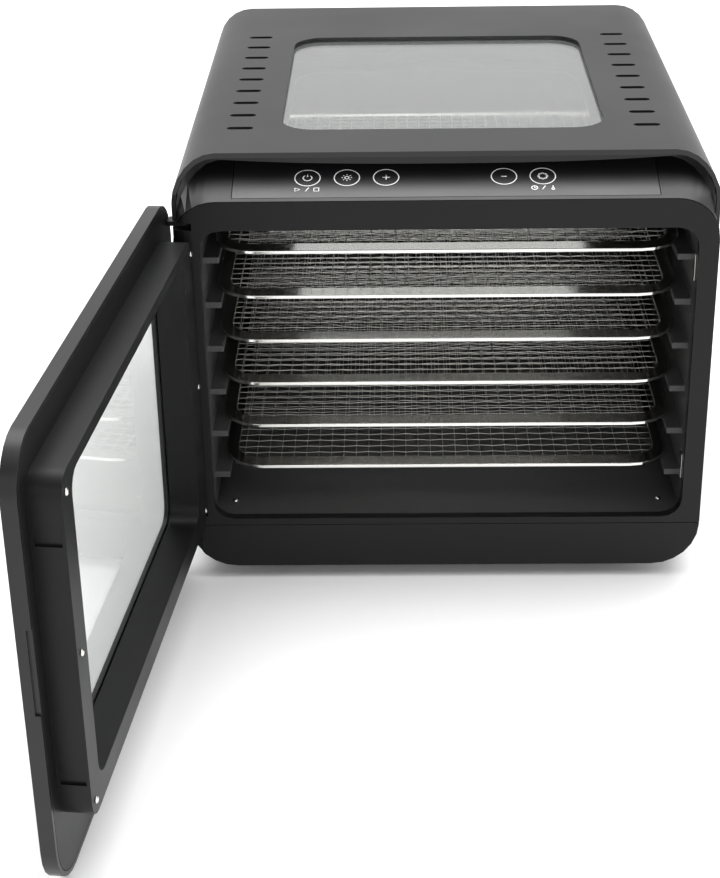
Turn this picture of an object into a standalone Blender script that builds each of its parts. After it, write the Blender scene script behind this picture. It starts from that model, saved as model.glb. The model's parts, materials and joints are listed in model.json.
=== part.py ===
"""Box food dehydrator: six wire trays behind a glazed, side-hung door, with a window in its top.

Metres, +Z up. The front faces -Y, the door stands open, and the origin is on the floor under the
middle of the box round it all. The pieces are made about the middle of the front frame's face,
then moved there together. Each sub-part is one object with its own material.
"""

import math

import bmesh
import bpy
from mathutils import Matrix, Vector

# ---------------------------------------------------------------- driving dimensions
BODY_WIDTH = 0.310
BODY_HEIGHT = 0.2608
BODY_DEPTH = 0.335
FOOT_HEIGHT = 0.008
FOOT_RADIUS = 0.009
FOOT_EDGE = 0.001
FOOT_FROM_SIDE = 0.036
FOOT_FROM_END = 0.030

GAP = 0.0003
CLEARANCE = 0.0013
WALL = 0.0025
SHEET = 0.0012

SHELL_RADIUS = 0.024
FRAME_RADIUS = 0.025
BASE_RADIUS = 0.028
BASE_HEIGHT = 0.029
BASE_WALL = 0.003

FRAME_DEPTH = 0.006
FASCIA_DROP = 0.0214
FASCIA_DEPTH = 0.040
RECESS_DEPTH = 0.036
FASCIA_SLOPE = math.radians(18.5)
FASCIA_END_ANGLE = math.radians(28)
FASCIA_SIDE_RUN = 0.006
PANEL_HALF = 0.1205
PANEL_START = 0.003
PANEL_END = 0.0355
PANEL_GLASS = 0.0012
BOARD_THICKNESS = 0.0016
CONTROL_BOARD_HALF = 0.090
CONTROL_BOARD_HEIGHT = 0.010
DISPLAY_HALF = 0.022
DISPLAY_MARGIN = 0.0015
LIP_SETBACK = 0.022
LIP_DROP = 0.019

HINGE_STRIP = 0.015
LATCH_STRIP = 0.0115
SILL = 0.0335
HEADER = 0.0175
OPENING_RADIUS = 0.012

WINDOW_WIDTH = 0.1915
WINDOW_LENGTH = 0.195
WINDOW_FRONT = 0.062
WINDOW_RADIUS = 0.0195
WINDOW_REST = 0.006
WINDOW_GLASS = 0.003
RETAINER_WIDTH = 0.011
RETAINER_HEIGHT = 0.004

SLOT_COUNT = 9
SLOT_PITCH = 0.0241
SLOT_FRONT = 0.066
SLOT_LENGTH = 0.0160
SLOT_WIDTH = 0.0048
SLOT_CENTRE = 0.1195

LAMP_Y = 0.050
LAMP_RADIUS = 0.011
LAMP_FACE_RADIUS = 0.007
LAMP_RIM = 0.004
LAMP_HEIGHT = 0.007

TRAY_COUNT = 6
TRAY_PITCH = 0.0284
FIRST_LEDGE = 0.0572
CEILING_DROP = 0.006
LEDGE_DEPTH = 0.0093
LEDGE_THICKNESS = 0.004
TRAY_REACH = 0.0043
TRAY_FRONT = 0.0195
TRAY_LENGTH = 0.256
TRAY_HEIGHT = 0.0022
TRAY_RIM = 0.0115
TRAY_SIDE_RIM = 0.008
HOLE_RADIUS = 0.014
TRAY_RADIUS = 0.025
MESH_THICKNESS = 0.0014

VENT_PITCH = 0.012
VENT_ROW_PITCH = 0.016
VENT_LENGTH = 0.011
VENT_WIDTH = 0.0034
INLET_FROM_SIDE = 0.045
INLET_ABOVE_SEAM = 0.030
INLET_WIDTH = 0.029
INLET_HEIGHT = 0.021
INLET_RADIUS = 0.003
INLET_DEPTH = 0.022
INLET_PROUD = 0.0015
SOCKET_DEPTH = 0.015

BAFFLE_Y = 0.281
BAFFLE_SLOT_LENGTH = 0.034
BAFFLE_SLOT_WIDTH = 0.0045
BAFFLE_RING_RADIUS = 0.036
BAFFLE_RING_SLOTS = 16
BAFFLE_SIDE = 0.106
BAFFLE_ROW_PITCH = 0.0165
IMPELLER_DEPTH = 0.014
IMPELLER_RADIUS = 0.062
IMPELLER_BLADES = 9
HUB_RADIUS = 0.018
SHAFT_RADIUS = 0.003
FAN_HEIGHT = 0.128
BULKHEAD_Y = 0.304
MOTOR_RADIUS = 0.026
MOTOR_DEPTH = 0.021
HEATER_RADIUS = 0.078
HEATER_TUBE = 0.0032
POWER_BOARD_STANDOFF = 0.006
POWER_BOARD_FAR = 0.110
POWER_BOARD_NEAR = 0.045
POWER_BOARD_BELOW = 0.060
POWER_BOARD_ABOVE = 0.030
THERMOSTAT_SIDE = 0.105
IMPELLER_SPACE = 0.003

DOOR_THICKNESS = 0.0077
DOOR_DROP = 0.0027
DOOR_GAP = 0.0003
DOOR_OPEN = math.radians(95.8)
PLUG_DEPTH = 0.0153
PLUG_STEP = 0.003
APERTURE_HINGE_MARGIN = 0.040
APERTURE_LATCH_MARGIN = 0.0285
APERTURE_TOP_MARGIN = 0.0067
APERTURE_BOTTOM_MARGIN = 0.0135
APERTURE_RADIUS = 0.010
DOOR_GLASS = 0.0030
GLASS_OVERLAP = 0.007
GRIP_LENGTH = 0.046
GRIP_DEPTH = 0.0025
GRIP_HEIGHT = 0.128
CATCH_UPPER = 0.1945
CATCH_LOWER = 0.0647
CATCH_HEIGHT = 0.016
CATCH_DEPTH = 0.0014
CATCH_FRONT = 0.0012
CATCH_BACK = 0.0136
CATCH_PLATE = 0.0005

HINGE_INSET = 0.0065
HINGE_SETBACK = 0.0095
ARM_WIDTH = 0.008
ARM_THICKNESS = 0.003
PIN_RADIUS = 0.002
PIN_LENGTH = 0.007
BRACKET_HEIGHT = 0.0085
BRACKET_REACH = 0.007

SCREW_RADIUS = 0.0019
SCREW_HEIGHT = 0.0012
FLOOR_SCREW_SIDE = 0.011
FLOOR_SCREW_Y = 0.022
HINGE_SCREW_EDGE = 0.0035
LATCH_SCREW_EDGE = 0.006
SCREW_ROW_EDGE = 0.0093

# ---------------------------------------------------------------- derived places
HALF = BODY_WIDTH / 2
FLOOR = FOOT_HEIGHT
TOP = FLOOR + BODY_HEIGHT
FRAME_TOP = TOP - FASCIA_DROP
SEAM = FLOOR + BASE_HEIGHT
LIP_FOOT_Z = TOP - LIP_DROP

OPEN_LEFT = -HALF + HINGE_STRIP
OPEN_RIGHT = HALF - LATCH_STRIP
OPEN_BOTTOM = FLOOR + SILL
OPEN_TOP = FRAME_TOP - HEADER
CHAMBER_X = (OPEN_LEFT + OPEN_RIGHT) / 2
CHAMBER_HALF = (OPEN_RIGHT - OPEN_LEFT) / 2
CHAMBER_FRONT = FRAME_DEPTH + GAP
CHAMBER_BACK = BAFFLE_Y - GAP
CEILING = FRAME_TOP - CEILING_DROP

FAN_Z = FLOOR + FAN_HEIGHT
BACK_Y = BODY_DEPTH - WALL
TRAY_HALF = CHAMBER_HALF - LEDGE_DEPTH + TRAY_REACH

DOOR_BOTTOM = FLOOR - DOOR_DROP
DOOR_TOP = FRAME_TOP - GAP
DOOR_INNER = -DOOR_GAP
DOOR_OUTER = DOOR_INNER - DOOR_THICKNESS
PLUG_RIGHT = OPEN_RIGHT - CLEARANCE
PLUG_BOTTOM = OPEN_BOTTOM + CLEARANCE
PLUG_TOP = OPEN_TOP - CLEARANCE
APERTURE = (
    -HALF + APERTURE_HINGE_MARGIN,
    HALF - APERTURE_LATCH_MARGIN,
    PLUG_BOTTOM + APERTURE_BOTTOM_MARGIN,
    PLUG_TOP - APERTURE_TOP_MARGIN,
)
HINGE_X = -HALF + HINGE_INSET
HINGE_Y = HINGE_SETBACK
STRIP_CORNER = math.hypot(OPEN_LEFT - HINGE_X, HINGE_Y)
PLUG_LEFT = HINGE_X + STRIP_CORNER + 1.5 * GAP
ARM_SWEEP = math.hypot(HINGE_SETBACK, ARM_WIDTH / 2) + GAP
ARM_UPPER_Z = OPEN_TOP + 0.001
ARM_LOWER_Z = OPEN_BOTTOM + 0.0025

COLOURS = {
    "black_plastic": ((0.018, 0.018, 0.019), 0.42, 0.0),
    "shell_paint": ((0.030, 0.030, 0.031), 0.38, 0.0),
    "dark_liner": ((0.012, 0.012, 0.012), 0.55, 0.0),
    "steel": ((0.55, 0.55, 0.54), 0.28, 1.0),
    "glass": ((0.75, 0.78, 0.78), 0.05, 0.0),
    "panel_glass": ((0.02, 0.02, 0.025), 0.08, 0.0),
    "circuit_board": ((0.02, 0.12, 0.05), 0.5, 0.0),
    "rubber": ((0.02, 0.02, 0.02), 0.8, 0.0),
    "lamp_diffuser": ((0.85, 0.85, 0.80), 0.4, 0.0),
}

PLANES = {
    "XY": Matrix.Identity(4),
    "XZ": Matrix.Rotation(math.pi / 2, 4, "X"),
    "YZ": Matrix(((0, 0, 1, 0), (1, 0, 0, 0), (0, 1, 0, 0), (0, 0, 0, 1))),
}


# ---------------------------------------------------------------- scene and material helpers
def clear_scene():
    """Removes every object that the scene starts with."""
    for obj in list(bpy.data.objects):
        bpy.data.objects.remove(obj, do_unlink=True)


def new_collection(name):
    """Adds a collection to the scene."""
    collection = bpy.data.collections.new(name)
    bpy.context.scene.collection.children.link(collection)
    return collection


def material(name):
    """Returns the Principled material of that name, made on its first use."""
    found = bpy.data.materials.get(name)
    if found:
        return found
    colour, roughness, metallic = COLOURS[name]
    made = bpy.data.materials.new(name)
    made.use_nodes = True
    shader = made.node_tree.nodes["Principled BSDF"]
    shader.inputs["Base Color"].default_value = (*colour, 1.0)
    shader.inputs["Roughness"].default_value = roughness
    shader.inputs["Metallic"].default_value = metallic
    return made


def finish(obj, material_name):
    """Puts a piece in the parts collection, with its material and soft shading."""
    for collection in list(obj.users_collection):
        collection.objects.unlink(obj)
    PARTS.objects.link(obj)
    obj.data.materials.clear()
    obj.data.materials.append(material(material_name))
    obj.data.shade_smooth()
    obj.data.set_sharp_from_angle(angle=math.radians(35))
    return obj


def as_cutter(obj):
    """Makes an object a hidden guide for Boolean modifiers."""
    for collection in list(obj.users_collection):
        collection.objects.unlink(obj)
    CUTTERS.objects.link(obj)
    obj.hide_render = True
    obj.display_type = "WIRE"
    return obj


def boolean(obj, other, operation="DIFFERENCE"):
    """Adds a Boolean modifier that cuts obj with other, or joins other to it."""
    modifier = obj.modifiers.new(operation.title(), "BOOLEAN")
    modifier.operation = operation
    modifier.solver = "EXACT"
    modifier.object = as_cutter(other)
    return obj


def new_object(name, mesh_builder):
    """Makes a mesh object from a function that fills a bmesh."""
    mesh = bpy.data.meshes.new(name)
    bm = bmesh.new()
    mesh_builder(bm)
    bm.to_mesh(mesh)
    bm.free()
    obj = bpy.data.objects.new(name, mesh)
    bpy.context.scene.collection.objects.link(obj)
    return obj


# ---------------------------------------------------------------- shape helpers
def box(name, low, high):
    """A box between two corners."""
    size = Vector(high) - Vector(low)
    centre = (Vector(high) + Vector(low)) / 2
    matrix = Matrix.Translation(centre) @ Matrix.Diagonal((*size, 1.0))
    return new_object(name, lambda bm: bmesh.ops.create_cube(bm, size=1.0, matrix=matrix))


def arc(centre, radius, start, end, segments):
    """Points along an arc, from one angle to another, both included."""
    steps = [start + (end - start) * i / segments for i in range(segments + 1)]
    return [(centre[0] + radius * math.cos(a), centre[1] + radius * math.sin(a)) for a in steps]


def rounded(left, right, bottom, top, radius, segments=5):
    """A rounded rectangle, anticlockwise. radius is one value, or one each for bottom and top."""
    low, high = radius if isinstance(radius, tuple) else (radius, radius)
    quarter = math.pi / 2
    return (
        arc((left + low, bottom + low), low, 2 * quarter, 3 * quarter, segments)
        + arc((right - low, bottom + low), low, 3 * quarter, 4 * quarter, segments)
        + arc((right - high, top - high), high, 0, quarter, segments)
        + arc((left + high, top - high), high, quarter, 2 * quarter, segments)
    )


def stadium(centre, length, width, angle=0.0, segments=3):
    """A slot outline with round ends, turned by angle about its centre."""
    reach = (length - width) / 2
    half = math.pi / 2
    points = arc((reach, 0), width / 2, -half, half, segments)
    points += arc((-reach, 0), width / 2, half, 3 * half, segments)
    cos, sin = math.cos(angle), math.sin(angle)
    return [(centre[0] + x * cos - y * sin, centre[1] + x * sin + y * cos) for x, y in points]


def circle(centre, radius, segments=24):
    """A closed round outline."""
    return arc(centre, radius, 0, 2 * math.pi * (1 - 1 / segments), segments - 1)


def curve_to_mesh(obj):
    """Replaces a curve object by a welded mesh object in the same place."""
    bpy.context.view_layer.update()
    graph = bpy.context.evaluated_depsgraph_get()
    mesh = bpy.data.meshes.new_from_object(obj.evaluated_get(graph))
    bm = bmesh.new()
    bm.from_mesh(mesh)
    bmesh.ops.remove_doubles(bm, verts=bm.verts, dist=0.00001)
    bm.to_mesh(mesh)
    bm.free()
    name, matrix = obj.name, obj.matrix_world.copy()
    bpy.data.objects.remove(obj, do_unlink=True)
    made = bpy.data.objects.new(name, mesh)
    made.matrix_world = matrix
    bpy.context.scene.collection.objects.link(made)
    return made


def prism(name, outlines, plane, low, high):
    """A flat outline, with any holes in it, given a thickness from low to high across its plane."""
    curve = bpy.data.curves.new(name, "CURVE")
    curve.dimensions = "2D"
    curve.fill_mode = "BOTH"
    curve.extrude = (high - low) / 2
    for outline in outlines:
        spline = curve.splines.new("POLY")
        spline.points.add(len(outline) - 1)
        for point, (u, v) in zip(spline.points, outline):
            point.co = (u, v, 0, 1)
        spline.use_cyclic_u = True
    obj = bpy.data.objects.new(name, curve)
    bpy.context.scene.collection.objects.link(obj)
    middle = (low + high) / 2
    across = -middle if plane == "XZ" else middle
    obj.matrix_world = PLANES[plane] @ Matrix.Translation((0, 0, across))
    return curve_to_mesh(obj)


def tube(name, points, radius):
    """A round tube along a list of points."""
    curve = bpy.data.curves.new(name, "CURVE")
    curve.dimensions = "3D"
    curve.bevel_depth = radius
    curve.bevel_resolution = 2
    curve.use_fill_caps = True
    spline = curve.splines.new("POLY")
    spline.points.add(len(points) - 1)
    for point, place in zip(spline.points, points):
        point.co = (*place, 1)
    obj = bpy.data.objects.new(name, curve)
    bpy.context.scene.collection.objects.link(obj)
    return curve_to_mesh(obj)


def turned(name, profile, location, direction, steps=20):
    """A solid turned about an axis. profile runs from the axis, down the outer side, to the axis."""
    mesh = bpy.data.meshes.new(name)
    vertices = [(r, 0, h) for r, h in profile]
    mesh.from_pydata(vertices, [(i, i + 1) for i in range(len(profile) - 1)], [])
    obj = bpy.data.objects.new(name, mesh)
    bpy.context.scene.collection.objects.link(obj)
    screw = obj.modifiers.new("Turn", "SCREW")
    screw.angle = 2 * math.pi
    screw.steps = steps
    screw.render_steps = steps
    screw.use_merge_vertices = True
    screw.merge_threshold = 0.00001
    obj.location = location
    obj.rotation_euler = Vector(direction).to_track_quat("Z", "Y").to_euler()
    return obj


def empty(name, location, turn=0.0):
    """An empty that moving pieces hang from, turned about Z."""
    obj = bpy.data.objects.new(name, None)
    obj.empty_display_size = 0.02
    obj.location = location
    obj.rotation_euler = (0, 0, turn)
    PARTS.objects.link(obj)
    return obj


# ---------------------------------------------------------------- casing
def shell_outline(half, top, radius, bottom):
    """The arch that the shell's section follows, from its right foot over the top to its left."""
    quarter = math.pi / 2
    right = arc((half - radius, top - radius), radius, 0, quarter, 6)
    left = arc((-half + radius, top - radius), radius, quarter, 2 * quarter, 6)
    return [(half, bottom)] + right + left + [(-half, bottom)]


def hinge_notches(back):
    """The two spaces that the hinge arms swing through, as one box each."""
    for level, height in (("upper", ARM_UPPER_Z), ("lower", ARM_LOWER_Z)):
        low = (-HALF - WALL, -WALL, height - 2 * GAP)
        high = (HINGE_X + ARM_WIDTH / 2 + 2 * GAP, back, height + ARM_THICKNESS + 2 * GAP)
        yield box(f"notch_{level}", low, high)


def hinge_relief():
    """What is cut off the casing's front edge so that the door's margin clears it as it swings."""
    radius = HINGE_Y - 2 * GAP
    curve = arc((HINGE_X, HINGE_Y), radius, -math.pi / 2, -math.radians(140), 5)
    outline = [(-HALF - WALL, -WALL), (HINGE_X, -WALL)] + curve
    outline.append((-HALF - WALL, curve[-1][1]))
    return prism("hinge_relief", [outline[::-1]], "XY", 0, TOP)


def make_outer_shell():
    """The top and side cover, with its vent slots, its window hole and its sloping front lip."""
    outer = shell_outline(HALF, TOP, SHELL_RADIUS, SEAM + GAP)
    inner = shell_outline(HALF - WALL, TOP - WALL, SHELL_RADIUS - WALL, SEAM + GAP)
    shell = prism("outer_shell", [outer + inner[::-1]], "XZ", CHAMBER_FRONT, BODY_DEPTH)
    slots = [
        stadium((side * SLOT_CENTRE, SLOT_FRONT + i * SLOT_PITCH), SLOT_LENGTH, SLOT_WIDTH)
        for side in (-1, 1)
        for i in range(SLOT_COUNT)
    ]
    window = rounded(
        -WINDOW_WIDTH / 2,
        WINDOW_WIDTH / 2,
        WINDOW_FRONT,
        WINDOW_FRONT + WINDOW_LENGTH,
        WINDOW_RADIUS,
    )
    boolean(shell, prism("top_holes", [*slots, window], "XY", TOP - 2 * WALL, TOP + WALL))
    lip = [
        (-WALL, LIP_FOOT_Z),
        (CHAMBER_FRONT, LIP_FOOT_Z),
        (LIP_SETBACK, TOP),
        (LIP_SETBACK, TOP + WALL),
        (-WALL, TOP + WALL),
    ]
    boolean(shell, prism("lip_slope", [lip], "YZ", -HALF - WALL, HALF + WALL))
    for notch in hinge_notches(HINGE_Y + ARM_SWEEP):
        boolean(shell, notch)
    return finish(shell, "shell_paint")


def make_base_pan():
    """The bottom moulding, an open tray with rounded lower edges."""
    outer = rounded(-HALF, HALF, FLOOR, SEAM + BASE_RADIUS, BASE_RADIUS, 6)
    outer = [p for p in outer if p[1] <= SEAM - GAP] + [(HALF, SEAM), (-HALF, SEAM)]
    outer = sorted_arch(outer)
    pan = prism("base_pan", [outer], "XZ", 0, BODY_DEPTH)
    hollow = sorted_arch(
        [
            p
            for p in rounded(
                -HALF + BASE_WALL,
                HALF - BASE_WALL,
                FLOOR + BASE_WALL,
                SEAM + BASE_RADIUS,
                BASE_RADIUS - BASE_WALL,
                6,
            )
            if p[1] <= SEAM
        ]
        + [(HALF - BASE_WALL, SEAM + WALL), (-HALF + BASE_WALL, SEAM + WALL)]
    )
    boolean(pan, prism("pan_hollow", [hollow], "XZ", FRAME_DEPTH, BODY_DEPTH - 2 * BASE_WALL))
    boolean(pan, hinge_relief())
    return finish(pan, "black_plastic")


def sorted_arch(points):
    """Orders a convex outline anticlockwise about its middle."""
    middle_x = sum(p[0] for p in points) / len(points)
    middle_z = sum(p[1] for p in points) / len(points)
    return sorted(points, key=lambda p: math.atan2(p[1] - middle_z, p[0] - middle_x))


def make_back_panel():
    """The rear cover, with rows of vent slots and the hole for the mains inlet."""
    inset = WALL + GAP
    outline = shell_outline(HALF - inset, TOP - inset, SHELL_RADIUS - inset, SEAM + GAP)
    vents = [
        stadium((column * VENT_PITCH, FAN_Z + row * VENT_ROW_PITCH), VENT_LENGTH, VENT_WIDTH,
                math.pi / 2, 2)
        for row in range(-2, 3)
        for column in range(-4, 5)
    ]
    inlet = rounded(*inlet_bounds(GAP), INLET_RADIUS, 2)
    panel = prism("back_panel", [outline, *vents, inlet], "XZ", BACK_Y - WALL, BACK_Y)
    return finish(panel, "black_plastic")


def inlet_bounds(extra=0.0):
    """Left, right, bottom and top of the mains inlet's body in the back panel."""
    centre_x, centre_z = HALF - INLET_FROM_SIDE, SEAM + INLET_ABOVE_SEAM
    half_x, half_z = INLET_WIDTH / 2 + extra, INLET_HEIGHT / 2 + extra
    return centre_x - half_x, centre_x + half_x, centre_z - half_z, centre_z + half_z


def make_power_inlet():
    """The mains inlet socket in the back panel, a rounded block with a blind socket."""
    left, right, bottom, top = inlet_bounds()
    body = prism("power_inlet", [rounded(left, right, bottom, top, INLET_RADIUS, 2)], "XZ",
                 BACK_Y - INLET_DEPTH, BACK_Y + INLET_PROUD)
    socket = rounded(left + WALL, right - WALL, bottom + WALL, top - WALL, 0.75 * INLET_RADIUS, 2)
    boolean(body, prism("inlet_socket", [socket], "XZ", BACK_Y - SOCKET_DEPTH, BACK_Y + WALL))
    return finish(body, "black_plastic")


def make_front_frame():
    """The front moulding round the door opening, notched for the two hinge arms."""
    outer = rounded(-HALF, HALF, SEAM + GAP, FRAME_TOP, (0.0006, FRAME_RADIUS), 6)
    opening = rounded(OPEN_LEFT, OPEN_RIGHT, OPEN_BOTTOM, OPEN_TOP, OPENING_RADIUS, 4)
    frame = prism("front_frame", [outer, opening], "XZ", 0, FRAME_DEPTH)
    boolean(frame, hinge_relief())
    for notch in hinge_notches(FRAME_DEPTH + WALL):
        boolean(frame, notch)
    return finish(frame, "black_plastic")


def fascia_stations():
    """Places along the fascia: a point of its lower edge on the frame, a point of its upper edge
    in the shell, and how far back the upper edge lies there."""
    reach = math.pi / 2 - FASCIA_END_ANGLE
    depth_change = RECESS_DEPTH - lip_y(0)
    lower_centre = HALF - FRAME_RADIUS
    upper_radius = SHELL_RADIUS - WALL - GAP
    upper_half = HALF - WALL - GAP
    upper_top = TOP - WALL - GAP
    full = upper_radius * math.pi / 2 + FASCIA_SIDE_RUN
    stations = []
    segments = 6
    for i in range(segments + 1):
        share = i / segments
        angle = math.pi / 2 - reach * share
        radius = FRAME_RADIUS + GAP
        lower = (
            lower_centre + radius * math.cos(angle),
            FRAME_TOP - FRAME_RADIUS + radius * math.sin(angle),
        )
        run = full * share
        turn = min(run / upper_radius, math.pi / 2)
        drop = max(0.0, run - upper_radius * math.pi / 2)
        upper = (
            upper_half - upper_radius + upper_radius * math.sin(turn),
            upper_top - upper_radius + upper_radius * math.cos(turn) - drop,
        )
        front = RECESS_DEPTH - depth_change * min(1.0, 1.5 * share) ** 1.5
        stations.append((lower, upper, max(front, lip_y(upper[1]))))
    mirrored = [((-a[0], a[1]), (-b[0], b[1]), front) for a, b, front in stations]
    return mirrored[::-1] + stations


def lip_y(height):
    """Where the fascia meets the underside of the sloping lip, at a height."""
    slope = (LIP_SETBACK - CHAMBER_FRONT) / LIP_DROP
    return CHAMBER_FRONT + 2 * GAP + max(0.0, height - LIP_FOOT_Z) * slope


def make_control_fascia():
    """The sloping control strip, a section swept round the top corners, with a pocket for glass."""
    share = RECESS_DEPTH * math.tan(FASCIA_SLOPE) / (FASCIA_DROP - WALL - 2 * GAP)

    def build(bm):
        rings = []
        for lower, upper, front in fascia_stations():
            middle = [lower[k] + (upper[k] - lower[k]) * share for k in (0, 1)]
            ring = [
                (lower[0], 0.0, lower[1]),
                (middle[0], front, middle[1]),
                (upper[0], front, upper[1]),
                (upper[0], FASCIA_DEPTH, upper[1]),
                (lower[0], FASCIA_DEPTH, lower[1]),
            ]
            rings.append([bm.verts.new(p) for p in ring])
        for first, second in zip(rings, rings[1:]):
            for i in range(len(first)):
                j = (i + 1) % len(first)
                bm.faces.new((first[i], first[j], second[j], second[i]))
        bm.faces.new(rings[0][::-1])
        bm.faces.new(rings[-1])
        bmesh.ops.recalc_face_normals(bm, faces=bm.faces)

    fascia = new_object("control_fascia", build)
    pocket = slope_box("panel_pocket", PANEL_HALF + GAP, PANEL_START - GAP, PANEL_END + GAP,
                       -PANEL_GLASS - GAP, WALL)
    boolean(fascia, pocket)
    boolean(fascia, hinge_relief())
    return finish(fascia, "black_plastic")


def slope_box(name, half_width, start, end, low, high):
    """A box in the fascia's own slope: start and end run up the slope, low and high across it."""
    middle = Vector((0, (start + end) / 2, (low + high) / 2))
    size = Vector((2 * half_width, end - start, high - low))
    slope = Matrix.Translation((0, 0, FRAME_TOP + GAP)) @ Matrix.Rotation(FASCIA_SLOPE, 4, "X")
    matrix = slope @ Matrix.Translation(middle) @ Matrix.Diagonal((*size, 1.0))
    return new_object(name, lambda bm: bmesh.ops.create_cube(bm, size=1.0, matrix=matrix))


def make_control_parts():
    """The touch glass, and under it the display and the board in the space behind the fascia."""
    glass = slope_box("control_glass", PANEL_HALF, PANEL_START, PANEL_END, -PANEL_GLASS, 0)
    finish(glass, "panel_glass")
    behind = FASCIA_DEPTH + GAP
    low = FRAME_TOP + 2 * GAP
    board = box("control_board", (-CONTROL_BOARD_HALF, behind, low),
                (CONTROL_BOARD_HALF, behind + BOARD_THICKNESS, low + CONTROL_BOARD_HEIGHT))
    finish(board, "circuit_board")
    front = behind + BOARD_THICKNESS + GAP
    display = box("display_module", (-DISPLAY_HALF, front, low + DISPLAY_MARGIN),
                  (DISPLAY_HALF, front + BOARD_THICKNESS,
                   low + CONTROL_BOARD_HEIGHT - DISPLAY_MARGIN))
    finish(display, "panel_glass")


def make_window():
    """The glass in the top cover, and the frame that holds it from below."""
    edge = WINDOW_REST
    glass_top = TOP - WALL - GAP
    left, right = -WINDOW_WIDTH / 2, WINDOW_WIDTH / 2
    front, back = WINDOW_FRONT, WINDOW_FRONT + WINDOW_LENGTH
    outline = rounded(left - edge, right + edge, front - edge, back + edge, WINDOW_RADIUS + edge)
    glass = prism("top_window_glass", [outline], "XY", glass_top - WINDOW_GLASS, glass_top)
    finish(glass, "glass")
    outer = rounded(left - RETAINER_WIDTH, right + RETAINER_WIDTH, front - RETAINER_WIDTH,
                    back + RETAINER_WIDTH, WINDOW_RADIUS + RETAINER_WIDTH)
    inner = rounded(left, right, front, back, WINDOW_RADIUS)
    seat = glass_top - WINDOW_GLASS - GAP
    retainer = prism("window_retainer", [outer, inner], "XY", seat - RETAINER_HEIGHT, seat)
    finish(retainer, "dark_liner")


# ---------------------------------------------------------------- drying chamber
def rack_section(side):
    """The comb-shaped section of a rack: a side wall with a ledge for each tray."""
    face = CHAMBER_X + side * CHAMBER_HALF
    back = face + side * WALL
    tip = face - side * LEDGE_DEPTH
    points = [(back, OPEN_BOTTOM), (back, CEILING - 2 * GAP), (face, CEILING - 2 * GAP)]
    for level in reversed(range(TRAY_COUNT)):
        ledge = ledge_top(level)
        points += [
            (face, ledge),
            (tip, ledge),
            (tip, ledge - LEDGE_THICKNESS),
            (face, ledge - LEDGE_THICKNESS),
        ]
    points.append((face, OPEN_BOTTOM))
    return points if side < 0 else points[::-1]


def ledge_top(level):
    """Height of a ledge's top, counted from the lowest tray."""
    return FLOOR + FIRST_LEDGE + level * TRAY_PITCH


def make_chamber():
    """The racks, floor and ceiling that line the drying chamber."""
    for name, side in (("left_rack", -1), ("right_rack", 1)):
        rack = prism(name, [rack_section(side)], "XZ", CHAMBER_FRONT, CHAMBER_BACK)
        face = CHAMBER_X + side * CHAMBER_HALF
        middle = face - side * (LEDGE_DEPTH + WALL) / 2
        reach = (LEDGE_DEPTH + WALL) / 2
        relief = box(f"{name}_relief", (middle - reach, 0, OPEN_BOTTOM - WALL),
                     (middle + reach, PLUG_DEPTH + CLEARANCE, TOP))
        boolean(rack, relief)
        finish(rack, "dark_liner")
    left, right = CHAMBER_X - CHAMBER_HALF - WALL, CHAMBER_X + CHAMBER_HALF + WALL
    floor_top = OPEN_BOTTOM - GAP
    floor = box("chamber_floor", (left, CHAMBER_FRONT, floor_top - SHEET),
                (right, CHAMBER_BACK, floor_top))
    finish(floor, "dark_liner")
    outline = rounded(left, right, FASCIA_DEPTH + GAP, CHAMBER_BACK, 0.002, 1)
    hole = rounded(-WINDOW_WIDTH / 2, WINDOW_WIDTH / 2, WINDOW_FRONT,
                   WINDOW_FRONT + WINDOW_LENGTH, WINDOW_RADIUS)
    ceiling = prism("chamber_ceiling", [outline, hole], "XY", CEILING, CEILING + SHEET)
    finish(ceiling, "dark_liner")
    lamp = turned(
        "interior_lamp",
        [(0, CEILING - GAP), (LAMP_RADIUS, CEILING - GAP), (LAMP_RADIUS, CEILING - LAMP_RIM),
         (LAMP_FACE_RADIUS, CEILING - 0.95 * LAMP_HEIGHT), (0, CEILING - LAMP_HEIGHT)],
        (0, LAMP_Y, 0), (0, 0, 1), 16,
    )
    finish(lamp, "lamp_diffuser")
    for name, side in (("floor_screw_left", -1), ("floor_screw_right", 1)):
        place = (CHAMBER_X + side * (CHAMBER_HALF - FLOOR_SCREW_SIDE), FLOOR_SCREW_Y,
                 floor_top + GAP)
        finish(turned(name, screw_profile(), place, (0, 0, 1), 12), "steel")


def screw_profile():
    """A pan head, from its crown down to its seat."""
    return [(0, SCREW_HEIGHT), (SCREW_RADIUS * 0.6, SCREW_HEIGHT * 0.85),
            (SCREW_RADIUS, SCREW_HEIGHT * 0.3), (SCREW_RADIUS, 0), (0, 0)]


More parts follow.
